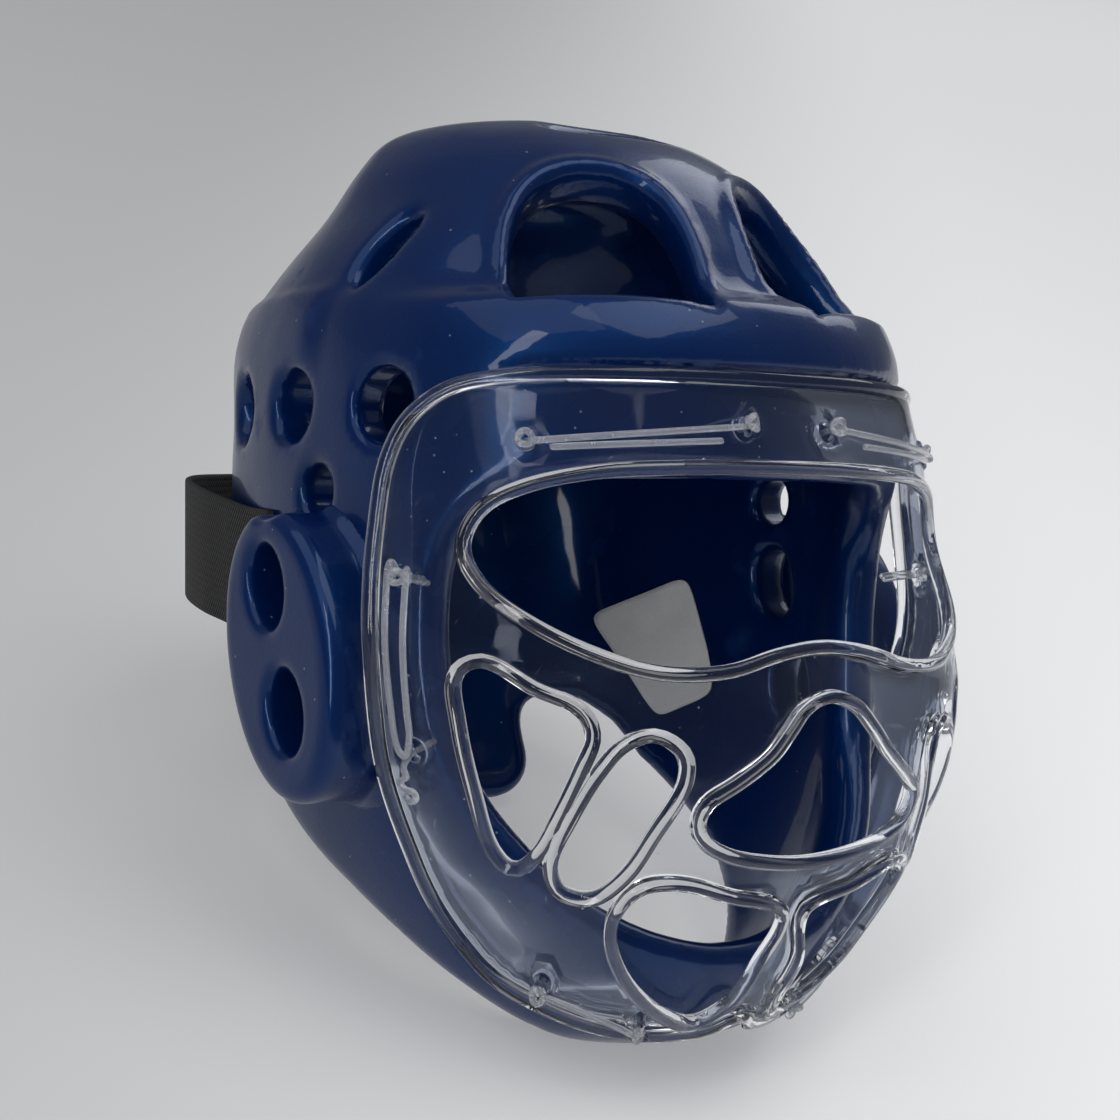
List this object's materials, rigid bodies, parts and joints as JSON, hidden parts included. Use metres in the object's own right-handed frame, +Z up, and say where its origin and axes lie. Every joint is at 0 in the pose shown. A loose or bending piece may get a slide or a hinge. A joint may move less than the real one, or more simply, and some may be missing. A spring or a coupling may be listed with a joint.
{
  "type": "sparring headgear with face shield",
  "caption": "Dipped foam sparring headgear with raised ear pads, air vents and an elastic back strap, and a clear moulded face shield laced over its face opening.",
  "frame": {"origin": "on the surface it rests on, under the middle of its box; the headgear lies leaned back about 28 degrees on its chin bar and nape", "axes": "+Z up from that surface, -Y towards the front (the face shield), +X to the wearer's left"},
  "size_m": [0.23, 0.2694, 0.2362],
  "materials": {
    "vinyl_foam": "glossy dipped vinyl skin over closed-cell foam, blue",
    "clear_shield": "clear moulded polycarbonate, polished",
    "lace": "clear soft plastic cord",
    "strap": "black elastic webbing",
    "label": "white woven label cloth, blank"
  },
  "bodies": {
    "root": {"shell": "vinyl_foam", "ear_cup_right": "vinyl_foam", "ear_cup_left": "vinyl_foam", "face_shield": "clear_shield", "lace_forehead_right": "lace", "lace_forehead_left": "lace", "lace_side_right": "lace", "lace_side_left": "lace", "lace_chin_right": "lace", "lace_chin_left": "lace", "back_strap": "strap", "inner_label": "label"}
  },
  "joints": []
}
